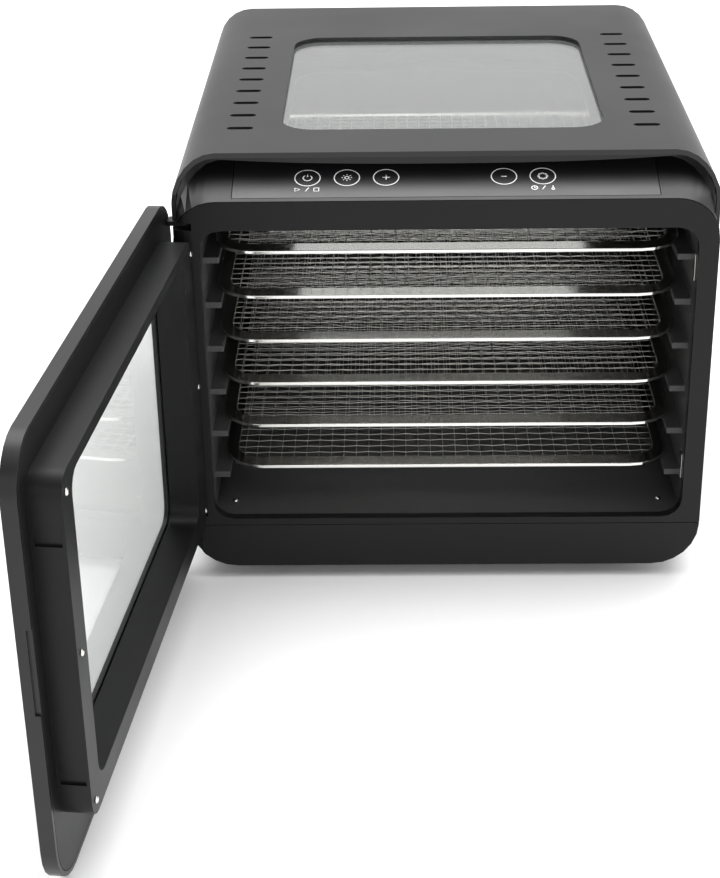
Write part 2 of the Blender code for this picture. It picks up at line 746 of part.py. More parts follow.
def make_trays():
    """Six trays on the ledges, each a pressed rim with a wire-mesh sheet inside it."""
    left, right = CHAMBER_X - TRAY_HALF, CHAMBER_X + TRAY_HALF
    back = TRAY_FRONT + TRAY_LENGTH
    outer = rounded(left, right, TRAY_FRONT, back, TRAY_RADIUS, 5)
    hole = (left + TRAY_SIDE_RIM, right - TRAY_SIDE_RIM, TRAY_FRONT + TRAY_RIM, back - TRAY_RIM)
    inner = rounded(*hole, HOLE_RADIUS, 5)
    sheet = rounded(hole[0] + GAP, hole[1] - GAP, hole[2] + GAP, hole[3] - GAP,
                    HOLE_RADIUS - GAP, 5)
    for level in range(TRAY_COUNT):
        low = ledge_top(level) + GAP
        slide = empty(f"tray_{level + 1}_slide", (CHAMBER_X, TRAY_FRONT, low))
        rim = prism(f"tray_{level + 1}_rim", [outer, inner], "XY", low, low + TRAY_HEIGHT)
        hang(finish(rim, "steel"), slide)
        mid = low + TRAY_HEIGHT / 2 - MESH_THICKNESS / 2
        mesh = prism(f"tray_{level + 1}_mesh", [sheet], "XY", mid, mid + MESH_THICKNESS)
        hang(finish(mesh, "steel"), slide)


def hang(obj, parent):
    """Parents a piece, and the guides its modifiers use, and keeps them where they are."""
    bpy.context.view_layer.update()
    obj.parent = parent
    obj.matrix_parent_inverse = parent.matrix_world.inverted()
    for modifier in obj.modifiers:
        if modifier.type == "BOOLEAN":
            hang(modifier.object, parent)
    return obj


# ---------------------------------------------------------------- air and heat
def make_air_system():
    """Baffle, fan, heater, motor and bulkhead behind the chamber."""
    left, right = CHAMBER_X - CHAMBER_HALF - WALL, CHAMBER_X + CHAMBER_HALF + WALL
    centre = (CHAMBER_X, FAN_Z)
    plate = rounded(left, right, OPEN_BOTTOM, CEILING, 0.004, 2)
    holes = [
        stadium(polar(centre, BAFFLE_RING_RADIUS, angle), BAFFLE_SLOT_LENGTH, BAFFLE_SLOT_WIDTH,
                angle, 2)
        for angle in (2 * math.pi * i / BAFFLE_RING_SLOTS for i in range(BAFFLE_RING_SLOTS))
    ]
    for side in (-1, 1):
        for row in range(-4, 5):
            place = (CHAMBER_X + side * BAFFLE_SIDE, FAN_Z + row * BAFFLE_ROW_PITCH)
            holes.append(stadium(place, BAFFLE_SLOT_LENGTH, BAFFLE_SLOT_WIDTH, 0.0, 2))
    baffle = prism("rear_baffle", [plate, *holes], "XZ", BAFFLE_Y, BAFFLE_Y + SHEET)
    finish(baffle, "dark_liner")

    bulkhead_hole = circle(centre, SHAFT_RADIUS + CLEARANCE, 16)
    bulkhead = prism("rear_bulkhead", [plate, bulkhead_hole], "XZ", BULKHEAD_Y,
                     BULKHEAD_Y + SHEET)
    finish(bulkhead, "steel")

    motor_front = BULKHEAD_Y + SHEET + GAP
    motor = turned(
        "fan_motor",
        [(0, MOTOR_DEPTH), (MOTOR_RADIUS * 0.8, MOTOR_DEPTH), (MOTOR_RADIUS, MOTOR_DEPTH - 0.003),
         (MOTOR_RADIUS, 0.003), (MOTOR_RADIUS * 0.8, 0), (0, 0)],
        (CHAMBER_X, motor_front, FAN_Z), (0, 1, 0),
    )
    motor_bore = circle(centre, SHAFT_RADIUS + GAP, 24)
    boolean(motor, prism("motor_bore", [motor_bore], "XZ", motor_front - WALL,
                         motor_front + MOTOR_DEPTH + WALL))
    finish(motor, "steel")

    spin = empty("fan_spin", (CHAMBER_X, BULKHEAD_Y, FAN_Z))
    impeller_back = BULKHEAD_Y - IMPELLER_SPACE
    impeller = prism("fan_impeller", [impeller_outline(centre)], "XZ",
                     impeller_back - IMPELLER_DEPTH, impeller_back)
    bore_cutter = circle(centre, SHAFT_RADIUS + GAP, 24)
    boolean(impeller, prism("impeller_bore", [bore_cutter], "XZ",
                            impeller_back - IMPELLER_DEPTH - WALL, impeller_back + WALL))
    hang(finish(impeller, "dark_liner"), spin)
    start = impeller_back - IMPELLER_DEPTH - IMPELLER_SPACE
    end = motor_front + MOTOR_DEPTH - WALL
    shaft = prism("fan_shaft", [circle(centre, SHAFT_RADIUS, 24)], "XZ", start, end)
    hang(finish(shaft, "steel"), spin)

    heater_y = impeller_back - IMPELLER_DEPTH / 2
    ring = [
        (CHAMBER_X + HEATER_RADIUS * math.cos(a), heater_y, FAN_Z + HEATER_RADIUS * math.sin(a))
        for a in (math.radians(-70 + 320 * i / 30) for i in range(31))
    ]
    finish(tube("heater_element", ring, HEATER_TUBE), "steel")

    sensor = turned(
        "thermostat",
        [(0, 0.006), (0.006, 0.006), (0.006, 0.002), (0.008, 0.002), (0.008, 0), (0, 0)],
        (CHAMBER_X - THERMOSTAT_SIDE, BULKHEAD_Y - GAP, FAN_Z), (0, -1, 0), 12,
    )
    finish(sensor, "steel")
    board_y = BULKHEAD_Y + SHEET + POWER_BOARD_STANDOFF
    board = box("power_board", (CHAMBER_X - POWER_BOARD_FAR, board_y, FAN_Z - POWER_BOARD_BELOW),
                (CHAMBER_X - POWER_BOARD_NEAR, board_y + BOARD_THICKNESS,
                 FAN_Z + POWER_BOARD_ABOVE))
    finish(board, "circuit_board")


def polar(centre, radius, angle):
    """A point at a radius and angle from a centre."""
    return centre[0] + radius * math.cos(angle), centre[1] + radius * math.sin(angle)


def impeller_outline(centre):
    """A hub with swept blades, as one outline."""
    points = []
    step = 2 * math.pi / IMPELLER_BLADES
    for i in range(IMPELLER_BLADES):
        base = i * step
        points.append(polar(centre, HUB_RADIUS, base))
        points.append(polar(centre, HUB_RADIUS, base + 0.12))
        points.append(polar(centre, IMPELLER_RADIUS * 0.75, base + 0.34))
        points.append(polar(centre, IMPELLER_RADIUS, base + 0.52))
        points.append(polar(centre, IMPELLER_RADIUS, base + 0.60))
        points.append(polar(centre, IMPELLER_RADIUS * 0.72, base + 0.46))
        points.append(polar(centre, HUB_RADIUS, base + 0.30))
    return points


# ---------------------------------------------------------------- door
def make_door():
    """The door: a cover, an inner frame that plugs the opening, the glass and its fastenings."""
    hinge = empty("door_hinge", (HINGE_X, HINGE_Y, 0))
    parts = []

    outline = rounded(-HALF, HALF, DOOR_BOTTOM, DOOR_TOP, (BASE_RADIUS, FRAME_RADIUS), 6)
    aperture = rounded(*APERTURE, APERTURE_RADIUS, 4)
    cover = prism("door_cover", [outline, aperture], "XZ", DOOR_OUTER, DOOR_INNER)
    hollow = rounded(-HALF + WALL, HALF - WALL, DOOR_BOTTOM + WALL, DOOR_TOP - WALL,
                     (BASE_RADIUS - WALL, FRAME_RADIUS - WALL), 6)
    boolean(cover, prism("cover_hollow", [hollow], "XZ", DOOR_OUTER + WALL, 2 * WALL))
    grip_z = FLOOR + GRIP_HEIGHT
    grip = box("grip_notch", (HALF - WALL / 2, DOOR_INNER - GRIP_DEPTH, grip_z - GRIP_LENGTH / 2),
               (HALF + WALL, WALL, grip_z + GRIP_LENGTH / 2))
    boolean(cover, grip)
    parts.append(finish(cover, "black_plastic"))

    glass_back = DOOR_OUTER + WALL + GAP
    left, right, bottom, top = APERTURE
    pane = rounded(left - GLASS_OVERLAP, right + GLASS_OVERLAP, bottom - GLASS_OVERLAP,
                   top + GLASS_OVERLAP, APERTURE_RADIUS + GLASS_OVERLAP, 4)
    glass = prism("door_glass", [pane], "XZ", glass_back, glass_back + DOOR_GLASS)
    parts.append(finish(glass, "glass"))

    seat = glass_back + DOOR_GLASS + GAP
    inset = WALL + GAP
    flange = rounded(-HALF + inset, HALF - inset, DOOR_BOTTOM + inset, DOOR_TOP - inset,
                     (BASE_RADIUS - inset, FRAME_RADIUS - inset), 6)
    plug = rounded(PLUG_LEFT, PLUG_RIGHT, PLUG_BOTTOM, PLUG_TOP, OPENING_RADIUS - CLEARANCE, 4)
    inner = prism("door_inner_frame", [plug, aperture], "XZ", seat, PLUG_DEPTH)
    hole = rounded(PLUG_LEFT + PLUG_STEP, PLUG_RIGHT - PLUG_STEP, PLUG_BOTTOM + PLUG_STEP,
                   PLUG_TOP - PLUG_STEP, OPENING_RADIUS - CLEARANCE - PLUG_STEP, 4)
    raised = prism("door_flange", [flange, hole], "XZ", seat + GAP, DOOR_INNER)
    boolean(inner, raised, "UNION")
    for level, height in (("lower", CATCH_LOWER), ("upper", CATCH_UPPER)):
        bottom = FLOOR + height - CATCH_HEIGHT / 2
        wedge = [
            (PLUG_RIGHT - CATCH_DEPTH, bottom),
            (PLUG_RIGHT + WALL, bottom),
            (PLUG_RIGHT + WALL, bottom + 2 * CATCH_HEIGHT),
            (PLUG_RIGHT, bottom + CATCH_HEIGHT),
        ]
        boolean(inner, prism(f"catch_notch_{level}", [wedge], "XZ", CATCH_FRONT,
                             CATCH_BACK))
        plate = box(f"door_catch_{level}",
                    (OPEN_RIGHT - GAP - CATCH_PLATE, CHAMBER_FRONT, bottom),
                    (OPEN_RIGHT - GAP, CATCH_BACK, bottom + CATCH_HEIGHT))
        finish(plate, "steel")
    parts.append(finish(inner, "black_plastic"))

    heights = (PLUG_BOTTOM + SCREW_ROW_EDGE, (PLUG_BOTTOM + PLUG_TOP) / 2,
               PLUG_TOP - SCREW_ROW_EDGE)
    sides = (("hinge", PLUG_LEFT + HINGE_SCREW_EDGE), ("latch", PLUG_RIGHT - LATCH_SCREW_EDGE))
    for side, x in sides:
        for i, height in enumerate(heights):
            screw = turned(f"door_screw_{side}_{i + 1}", screw_profile(),
                           (x, PLUG_DEPTH + GAP, height), (0, 1, 0), 10)
            parts.append(finish(screw, "steel"))

    for level, height, down in (("upper", ARM_UPPER_Z, True), ("lower", ARM_LOWER_Z, False)):
        parts.append(make_hinge_arm(level, height, down))
        make_hinge_bracket(level, height, down)

    for part in parts:
        hang(part, hinge)
    hinge.rotation_euler = (0, 0, -DOOR_OPEN)


def make_hinge_arm(level, height, down):
    """A flat arm from the door cover to its pin, which drops into, or rises into, the bracket."""
    reach = ARM_WIDTH / 2
    eye = arc((HINGE_X, HINGE_Y), reach, 0, math.pi, 6)
    outline = [(HINGE_X + reach, DOOR_INNER + GAP)] + eye + [(HINGE_X - reach, DOOR_INNER + GAP)]
    arm = prism(f"hinge_arm_{level}", [outline], "XY", height, height + ARM_THICKNESS)
    middle = height + ARM_THICKNESS / 2
    low, high = height - PIN_LENGTH, middle
    if not down:
        low, high = middle, height + ARM_THICKNESS + PIN_LENGTH
    pin = prism(f"hinge_pin_{level}", [circle((HINGE_X, HINGE_Y), PIN_RADIUS, 24)], "XY", low, high)
    boolean(arm, pin, "UNION")
    return finish(arm, "shell_paint")


def make_hinge_bracket(level, height, down):
    """The block behind the front frame that the pin turns in."""
    clear = 2 * GAP
    low = height - clear - BRACKET_HEIGHT if down else height + ARM_THICKNESS + clear
    reach = ARM_WIDTH / 2 - 2 * GAP
    outline = [
        (HINGE_X - reach, CHAMBER_FRONT),
        (HINGE_X + reach, CHAMBER_FRONT),
        (HINGE_X + reach, HINGE_Y + BRACKET_REACH),
        (HINGE_X - reach, HINGE_Y + BRACKET_REACH),
    ]
    bore = circle((HINGE_X, HINGE_Y), PIN_RADIUS + GAP, 24)
    bracket = prism(f"hinge_bracket_{level}", [outline, bore], "XY", low, low + BRACKET_HEIGHT)
    return finish(bracket, "shell_paint")


def make_feet():
    """Four rubber feet under the base."""
    top = FOOT_HEIGHT - GAP
    profile = [(0, top), (FOOT_RADIUS, top), (0.9 * FOOT_RADIUS, FOOT_EDGE),
               (0.8 * FOOT_RADIUS, 0), (0, 0)]
    for side, x in (("left", -HALF + FOOT_FROM_SIDE), ("right", HALF - FOOT_FROM_SIDE)):
        for end, y in (("front", FOOT_FROM_END), ("back", BODY_DEPTH - FOOT_FROM_END)):
            finish(turned(f"foot_{end}_{side}", profile, (x, y, 0), (0, 0, 1), 14), "rubber")


def move_to_origin():
    """Moves everything so that the origin is under the middle of the box round the parts."""
    bpy.context.view_layer.update()
    graph = bpy.context.evaluated_depsgraph_get()
    places = []
    for obj in PARTS.objects:
        if obj.type == "MESH":
            mesh = obj.evaluated_get(graph).to_mesh()
            places += [obj.matrix_world @ vertex.co for vertex in mesh.vertices]
    middle = [(min(p[k] for p in places) + max(p[k] for p in places)) / 2 for k in (0, 1)]
    for obj in list(bpy.data.objects):
        if obj.parent is None:
            obj.location -= Vector((*middle, 0))


clear_scene()
PARTS = new_collection("food_dehydrator")
CUTTERS = new_collection("cutters")
make_outer_shell()
make_base_pan()
make_back_panel()
make_power_inlet()
make_front_frame()
make_control_fascia()
make_control_parts()
make_window()
make_chamber()
make_trays()
make_air_system()
make_door()
make_feet()
move_to_origin()
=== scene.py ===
"""Looks of the box food dehydrator: finishes, wire trays, printed touch marks and studio."""

import json
import logging
import math
import random
from dataclasses import dataclass, field
from enum import Enum

import bpy
from mathutils import Matrix, Vector

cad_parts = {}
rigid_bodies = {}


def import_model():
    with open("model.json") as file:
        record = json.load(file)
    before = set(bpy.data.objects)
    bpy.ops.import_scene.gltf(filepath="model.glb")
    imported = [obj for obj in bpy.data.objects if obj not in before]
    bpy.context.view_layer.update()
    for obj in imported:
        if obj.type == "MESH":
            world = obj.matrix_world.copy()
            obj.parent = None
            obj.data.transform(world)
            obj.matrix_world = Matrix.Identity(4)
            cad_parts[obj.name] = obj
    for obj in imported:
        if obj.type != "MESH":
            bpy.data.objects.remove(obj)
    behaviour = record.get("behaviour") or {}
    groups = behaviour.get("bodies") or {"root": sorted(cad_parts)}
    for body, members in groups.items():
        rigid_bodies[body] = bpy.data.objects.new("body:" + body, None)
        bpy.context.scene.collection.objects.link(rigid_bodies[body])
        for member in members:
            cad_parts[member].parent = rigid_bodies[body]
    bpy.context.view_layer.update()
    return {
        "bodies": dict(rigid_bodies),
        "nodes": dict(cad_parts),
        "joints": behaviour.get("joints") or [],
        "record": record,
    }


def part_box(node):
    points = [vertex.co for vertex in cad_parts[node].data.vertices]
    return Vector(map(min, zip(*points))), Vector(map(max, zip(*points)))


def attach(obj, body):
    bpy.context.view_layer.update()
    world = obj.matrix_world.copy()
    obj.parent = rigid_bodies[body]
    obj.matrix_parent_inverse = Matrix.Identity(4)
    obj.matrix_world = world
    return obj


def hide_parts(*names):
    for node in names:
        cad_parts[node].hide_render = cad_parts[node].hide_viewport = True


LOG = logging.getLogger("dehydrator")
MM = 0.001
WELD_MM = 0.01
CURVE_WELD_MM = 0.001
FLAT_DEGREES = 0.3
SHARP_DEGREES = 38
TRAYS = 6


class Slot(Enum):
    """The record's material slots named for the pieces made here; a skin keeps its slot, but only
    its material goes on the mesh.
    """

    BLACK_PLASTIC = "black_plastic"
    SHELL_PAINT = "shell_paint"
    DARK_LINER = "dark_liner"
    STEEL = "steel"
    GLASS = "glass"
    PANEL_GLASS = "panel_glass"
    RUBBER = "rubber"
    LAMP = "lamp_diffuser"


# ---------------------------------------------------------------- colour and shader nodes
def srgb(code: str) -> tuple[float, float, float, float]:
    """Turns an sRGB hex colour into linear red, green, blue and alpha.

    Args:
        code: Six hex digits after a hash sign.

    Returns:
        The linear colour with full alpha.
    """
    values = [int(code[i : i + 2], 16) / 255 for i in (1, 3, 5)]
    linear = [v / 12.92 if v <= 0.04045 else ((v + 0.055) / 1.055) ** 2.4 for v in values]
    return (*linear, 1.0)


def add_node(
    material: bpy.types.Material,
    kind: str,
    settings: dict | None = None,
    links: dict | None = None,
    **attributes: object,
) -> bpy.types.Node:
    """Adds a shader node with its settings and incoming links.

    Args:
        material: The material whose tree takes the node.
        kind: Blender's node type name.
        settings: Values for input sockets, by name or number.
        links: Output sockets to join to input sockets, by name or number.
        **attributes: Properties of the node itself.

    Returns:
        The new node.
    """
    tree = material.node_tree
    node = tree.nodes.new(kind)
    for name, value in attributes.items():
        setattr(node, name, value)
    for socket, value in (settings or {}).items():
        node.inputs[socket].default_value = value
    for socket, source in (links or {}).items():
        tree.links.new(source, node.inputs[socket])
    return node


def new_material(name: str) -> bpy.types.Material:
    """Returns an empty node material."""
    material = bpy.data.materials.new(name)
    material.use_nodes = True
    material.node_tree.nodes.clear()
    return material


def close_material(
    material: bpy.types.Material, shader: bpy.types.Node
) -> bpy.types.Material:
    """Joins a shader to the material's output and returns the material."""
    add_node(material, "ShaderNodeOutputMaterial", links={"Surface": shader.outputs[0]})
    return material


# ---------------------------------------------------------------- finishes
@dataclass(frozen=True)
class MouldedAbs:
    """Injection-moulded ABS. The spark-eroded mould leaves a fine even grain and a satin sheen."""

    name: str = "moulded_abs"
    colour: str = "#0d0d0e"
    pale: str = "#131314"
    roughness: float = 0.42
    specular: float = 0.20
    grain_mm: float = 0.7
    grain_depth_mm: float = 0.012
    flow_mm: float = 60.0

    def build(self) -> bpy.types.Material:
        """Builds the material."""
        material = new_material(self.name)
        place = add_node(material, "ShaderNodeTexCoord").outputs["Object"]
        grain = add_node(
            material, "ShaderNodeTexNoise",
            {"Scale": 1 / (self.grain_mm * MM), "Detail": 2.0, "Roughness": 0.6},
            {"Vector": place},
        )
        flow = add_node(
            material, "ShaderNodeTexNoise", {"Scale": 1 / (self.flow_mm * MM), "Detail": 3.0},
            {"Vector": place},
        )
        tint = add_node(
            material, "ShaderNodeMix",
            {6: srgb(self.colour), 7: srgb(self.pale)}, {0: flow.outputs["Fac"]},
            data_type="RGBA",
        )
        gloss = add_node(
            material, "ShaderNodeMapRange",
            {"From Min": 0.3, "From Max": 0.7, "To Min": self.roughness - 0.04,
             "To Max": self.roughness + 0.05},
            {"Value": flow.outputs["Fac"]},
        )
        bump = add_node(
            material, "ShaderNodeBump",
            {"Strength": 0.5, "Distance": self.grain_depth_mm * MM},
            {"Height": grain.outputs["Fac"]},
        )
        shader = add_node(
            material, "ShaderNodeBsdfPrincipled",
            {"IOR": 1.53, "Specular IOR Level": self.specular},
            {"Base Color": tint.outputs[2], "Roughness": gloss.outputs[0],
             "Normal": bump.outputs[0]},
        )
        return close_material(material, shader)


@dataclass(frozen=True)
class PowderCoat:
    """Powder-coated steel sheet. The baked powder has a soft sheen and slight orange peel."""

    name: str = "powder_coat"
    colour: str = "#161617"
    roughness: float = 0.40
    peel_mm: float = 1.6
    peel_depth_mm: float = 0.010
    haze_mm: float = 90.0
    specular: float = 0.4

    def build(self) -> bpy.types.Material:
        """Builds the material."""
        material = new_material(self.name)
        place = add_node(material, "ShaderNodeTexCoord").outputs["Object"]
        peel = add_node(
            material, "ShaderNodeTexNoise",
            {"Scale": 1 / (self.peel_mm * MM), "Detail": 1.5}, {"Vector": place},
        )
        haze = add_node(
            material, "ShaderNodeTexNoise",
            {"Scale": 1 / (self.haze_mm * MM), "Detail": 2.0}, {"Vector": place},
        )
        gloss = add_node(
            material, "ShaderNodeMapRange",
            {"From Min": 0.3, "From Max": 0.7, "To Min": self.roughness - 0.03,
             "To Max": self.roughness + 0.04},
            {"Value": haze.outputs["Fac"]},
        )
        bump = add_node(
            material, "ShaderNodeBump",
            {"Strength": 0.4, "Distance": self.peel_depth_mm * MM},
            {"Height": peel.outputs["Fac"]},
        )
        shader = add_node(
            material, "ShaderNodeBsdfPrincipled",
            {"Base Color": srgb(self.colour), "IOR": 1.5, "Specular IOR Level": self.specular},
            {"Roughness": gloss.outputs[0], "Normal": bump.outputs[0]},
        )
        return close_material(material, shader)


@dataclass(frozen=True)
class Stainless:
    """Stainless steel, rolled or drawn: fine lines along one axis spread its highlights."""

    name: str = "stainless_sheet"
    colour: str = "#dddcd8"
    roughness: float = 0.12
    line_mm: float = 0.35
    line_depth_mm: float = 0.01
    along: Vector = field(default_factory=lambda: Vector((0.02, 1.0, 1.0)))

    def build(self) -> bpy.types.Material:
        """Builds the material."""
        material = new_material(self.name)
        place = add_node(material, "ShaderNodeTexCoord").outputs["Object"]
        drawn = add_node(
            material, "ShaderNodeMapping", {"Scale": tuple(self.along)}, {"Vector": place}
        )
        lines = add_node(
            material, "ShaderNodeTexNoise",
            {"Scale": 1 / (self.line_mm * MM), "Detail": 3.0, "Roughness": 0.7},
            {"Vector": drawn.outputs[0]},
        )
        gloss = add_node(
            material, "ShaderNodeMapRange",
            {"From Min": 0.25, "From Max": 0.75, "To Min": self.roughness - 0.05,
             "To Max": self.roughness + 0.08},
            {"Value": lines.outputs["Fac"]},
        )
        bump = add_node(
            material, "ShaderNodeBump",
            {"Strength": 0.15, "Distance": self.line_depth_mm * MM},
            {"Height": lines.outputs["Fac"]},
        )
        shader = add_node(
            material, "ShaderNodeBsdfPrincipled",
            {"Base Color": srgb(self.colour), "Metallic": 1.0},
            {"Roughness": gloss.outputs[0], "Normal": bump.outputs[0]},
        )
        return close_material(material, shader)


@dataclass(frozen=True)
class FloatGlass:
    """Toughened float glass: flat and glossy, with a trace of handling haze or of milkiness."""

    name: str = "float_glass"
    tint: str = "#fafcfb"
    haze: float = 0.02
    milk: float = 0.0
    smear_mm: float = 45.0

    def build(self) -> bpy.types.Material:
        """Builds the material."""
        material = new_material(self.name)
        place = add_node(material, "ShaderNodeTexCoord").outputs["Object"]
        smear = add_node(
            material, "ShaderNodeTexNoise",
            {"Scale": 1 / (self.smear_mm * MM), "Detail": 4.0}, {"Vector": place},
        )
        gloss = add_node(
            material, "ShaderNodeMapRange",
            {"From Min": 0.35, "From Max": 0.75, "To Min": self.haze / 2, "To Max": self.haze * 2},
            {"Value": smear.outputs["Fac"]},
        )
        shader = add_node(
            material, "ShaderNodeBsdfPrincipled",
            {"Base Color": srgb(self.tint), "IOR": 1.5, "Transmission Weight": 1.0 - self.milk},
            {"Roughness": gloss.outputs[0]},
        )
        return close_material(material, shader)


@dataclass(frozen=True)
class TouchAcrylic:
    """Back-printed acrylic touch panel: deep black under a clear satin face."""

    name: str = "touch_acrylic"
    colour: str = "#1a1a1c"
    roughness: float = 0.38
    smear_mm: float = 25.0

    def build(self) -> bpy.types.Material:
        """Builds the material."""
        material = new_material(self.name)
        place = add_node(material, "ShaderNodeTexCoord").outputs["Object"]
        smear = add_node(
            material, "ShaderNodeTexNoise",
            {"Scale": 1 / (self.smear_mm * MM), "Detail": 3.0}, {"Vector": place},
        )
        gloss = add_node(
            material, "ShaderNodeMapRange",
            {"To Min": self.roughness - 0.04, "To Max": self.roughness + 0.06},
            {"Value": smear.outputs["Fac"]},
        )
        shader = add_node(
            material, "ShaderNodeBsdfPrincipled",
            {"Base Color": srgb(self.colour), "IOR": 1.49, "Specular IOR Level": 0.65},
            {"Roughness": gloss.outputs[0]},
        )
        return close_material(material, shader)


@dataclass(frozen=True)
class Plain:
    """A dull even finish with a fine speckle: ink, rubber, liner or laminate."""

    name: str
    colour: str
    pale: str
    roughness: float
    speckle_mm: float = 1.0
    specular: float = 0.4
    relief_mm: float = 0.01

    def build(self) -> bpy.types.Material:
        """Builds the material."""
        material = new_material(self.name)
        place = add_node(material, "ShaderNodeTexCoord").outputs["Object"]
        speckle = add_node(
            material, "ShaderNodeTexNoise",
            {"Scale": 1 / (self.speckle_mm * MM), "Detail": 2.0}, {"Vector": place},
        )
        tint = add_node(
            material, "ShaderNodeMix", {6: srgb(self.colour), 7: srgb(self.pale)},
            {0: speckle.outputs["Fac"]}, data_type="RGBA",
        )
        bump = add_node(
            material, "ShaderNodeBump",
            {"Strength": 0.3, "Distance": self.relief_mm * MM},
            {"Height": speckle.outputs["Fac"]},
        )
        shader = add_node(
            material, "ShaderNodeBsdfPrincipled",
            {"Roughness": self.roughness, "Specular IOR Level": self.specular},
            {"Base Color": tint.outputs[2], "Normal": bump.outputs[0]},
        )
        return close_material(material, shader)


class Finishes:
    """Every finish of the machine, each built once."""

    def __init__(self) -> None:
        """Builds the materials."""
        self.abs = MouldedAbs().build()
        self.fascia = MouldedAbs(name="fascia_abs", colour="#121213", specular=0.42).build()
        self.cover = MouldedAbs(name="door_cover_abs", roughness=0.36, specular=0.36).build()
        self.shell = PowderCoat().build()
        self.rim = Stainless().build()
        self.wire = Stainless(
            "stainless_wire", "#a5a4a0", 0.30, 0.5, along=Vector((1, 1, 1))
        ).build()
        self.glass = FloatGlass().build()
        self.window = FloatGlass(name="window_glass", haze=0.03, milk=0.06).build()
        self.panel = TouchAcrylic().build()
        self.ink = Plain("screen_print", "#fbfbf8", "#ffffff", 0.55, 0.4).build()
        self.liner = Plain("polypropylene_liner", "#343434", "#3d3d3d", 0.5, 0.8, 0.5).build()
        self.rubber = Plain("foot_rubber", "#101010", "#1a1a1a", 0.85, 0.6, 0.2).build()
        self.board = Plain("board_laminate", "#0c3b1f", "#11502a", 0.45, 2.0).build()
        self.lamp = Plain("opal_lamp_cover", "#e9e9e2", "#f4f4ee", 0.35, 3.0).build()


# ---------------------------------------------------------------- modelling helpers
def select_only(obj: bpy.types.Object) -> None:
    """Makes an object the only selected one, and active."""
    for other in bpy.context.selected_objects:
        other.select_set(False)
    obj.select_set(True)
    bpy.context.view_layer.objects.active = obj


def apply_all(obj: bpy.types.Object) -> None:
    """Applies every modifier of an object, in order."""
    select_only(obj)
    for modifier in list(obj.modifiers):
        bpy.ops.object.modifier_apply(modifier=modifier.name)


def settle(obj: bpy.types.Object) -> None:
    """Moves an object's place, turn and scale into its mesh."""
    select_only(obj)
    bpy.ops.object.transform_apply(location=True, rotation=True, scale=True)


def soften(obj: bpy.types.Object, radius_mm: float, segments: int = 2) -> None:
    """Rounds an object's sharp edges and shades it smooth.

    Args:
        obj: The mesh object.
        radius_mm: The rounding's width.
        segments: Faces across the rounding.
    """
    bevel = obj.modifiers.new("soft_edges", "BEVEL")
    bevel.width = radius_mm * MM
    bevel.segments = segments
    bevel.limit_method = "ANGLE"
    bevel.angle_limit = math.radians(SHARP_DEGREES)
    bevel.harden_normals = True
    select_only(obj)
    bpy.ops.object.shade_smooth_by_angle(angle=math.radians(SHARP_DEGREES))
    apply_all(obj)


def wear(
    obj: bpy.types.Object, material: bpy.types.Material, body: str
) -> bpy.types.Object:
    """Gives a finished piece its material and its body.

    Args:
        obj: The piece, in place.
        material: Its finish.
        body: The CAD body that it moves with.

    Returns:
        The same piece.
    """
    obj.data.materials.clear()
    obj.data.materials.append(material)
    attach(obj, body)
    LOG.info("%s: %d faces", obj.name, len(obj.data.polygons))
    return obj


@dataclass
class Skin:
    """A CAD node's refined surface: its mesh welded, its flats joined and its edges rounded."""

    node: str
    material: bpy.types.Material
    body: str
    slot: Slot
    radius_mm: float = 0.6
    segments: int = 2

    def build(self, frame: dict) -> bpy.types.Object:
        """Builds the piece in place of its node.


        Returns:
            The new piece.
        """
        mesh = frame["nodes"][self.node].data.copy()
        obj = bpy.data.objects.new(f"{self.node}_skin", mesh)
        bpy.context.scene.collection.objects.link(obj)
        select_only(obj)
        bpy.ops.object.mode_set(mode="EDIT")
        bpy.ops.mesh.select_all(action="SELECT")
        bpy.ops.mesh.remove_doubles(threshold=WELD_MM * MM)
        bpy.ops.mesh.dissolve_limited(angle_limit=math.radians(FLAT_DEGREES))
        bpy.ops.object.mode_set(mode="OBJECT")
        if mesh.has_custom_normals:
            bpy.ops.mesh.customdata_custom_splitnormals_clear()
        soften(obj, self.radius_mm, self.segments)
        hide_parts(self.node)
        return wear(obj, self.material, self.body)


def dress(frame: dict, material: bpy.types.Material, *nodes: str) -> None:
    """Gives CAD nodes that show as they are their finish."""
    for name in nodes:
        data = frame["nodes"][name].data
        data.materials.clear()
        data.materials.append(material)


def curve_mesh(name: str, curve: bpy.types.Curve) -> bpy.types.Object:
    """Turns curve data into a mesh object at the origin.

    Args:
        name: The object's name.
        curve: The curve data.

    Returns:
        The mesh object.
    """
    obj = bpy.data.objects.new(name, curve)
    bpy.context.scene.collection.objects.link(obj)
    select_only(obj)
    bpy.ops.object.convert(target="MESH")
    obj = bpy.context.object
    bpy.ops.object.mode_set(mode="EDIT")
    bpy.ops.mesh.select_all(action="SELECT")
    bpy.ops.mesh.remove_doubles(threshold=CURVE_WELD_MM * MM)
    bpy.ops.object.mode_set(mode="OBJECT")
    return obj


def add_spline(curve: bpy.types.Curve, points: list, closed: bool = False) -> None:
    """Adds a straight-segment spline through points to curve data."""
    spline = curve.splines.new("POLY")
    spline.points.add(len(points) - 1)
    for point, place in zip(spline.points, points):
        point.co = (*place, 1.0)
    spline.use_cyclic_u = closed


